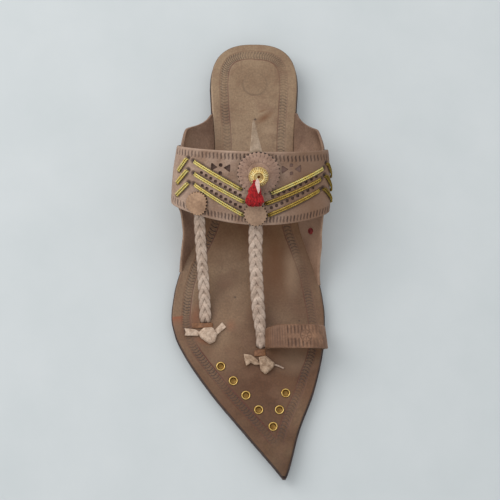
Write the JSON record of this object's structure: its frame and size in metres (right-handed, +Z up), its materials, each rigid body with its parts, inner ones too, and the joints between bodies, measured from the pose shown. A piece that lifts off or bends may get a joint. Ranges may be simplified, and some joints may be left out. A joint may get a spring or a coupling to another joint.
{
  "type": "kolhapuri sandal",
  "caption": "Open right-foot leather sandal with a pointed toe, a corded and pierced instep band, plaited straps, a big-toe loop, brass eyelets and a wool tassel.",
  "frame": {"origin": "on the floor, under the middle of the bounding box", "axes": "+Z up, +Y towards the heel, the toe towards -Y, +X towards the big-toe side of a right foot"},
  "size_m": [0.1079, 0.302, 0.0804],
  "materials": {
    "outsole_leather": "burnished dark edge",
    "insole_leather": "stamped, satin",
    "upper_leather": "matt",
    "strap_leather": "stamped, matt",
    "pale_leather": "undyed, matt",
    "gold_cord": "metallic thread",
    "brass": "polished",
    "red_wool": "wool"
  },
  "bodies": {
    "root": {"outsole": "outsole_leather", "insole": "insole_leather", "upper": "upper_leather", "toe_strap": "strap_leather", "braid_centre": "pale_leather", "braid_side": "pale_leather", "knot_centre": "pale_leather", "knot_side": "pale_leather", "tip_strap": "pale_leather", "medallion": "upper_leather", "disc_centre": "upper_leather", "disc_side": "upper_leather", "button": "brass", "tassel": "red_wool", "tassel_thong": "pale_leather", "gold_cord_lateral_rear": "gold_cord", "gold_cord_lateral_middle": "gold_cord", "gold_cord_lateral_front": "gold_cord", "gold_cord_lateral_side_rear": "gold_cord", "gold_cord_lateral_side_middle": "gold_cord", "gold_cord_lateral_side_front": "gold_cord", "gold_cord_medial_rear": "gold_cord", "gold_cord_medial_middle": "gold_cord", "gold_cord_medial_front": "gold_cord", "gold_cord_medial_side_rear": "gold_cord", "gold_cord_medial_side_middle": "gold_cord", "gold_cord_medial_side_front": "gold_cord", "eyelet_1": "brass", "eyelet_2": "brass", "eyelet_3": "brass", "eyelet_4": "brass", "eyelet_5": "brass", "eyelet_6": "brass", "eyelet_7": "brass", "red_stud": "red_wool"}
  },
  "joints": []
}
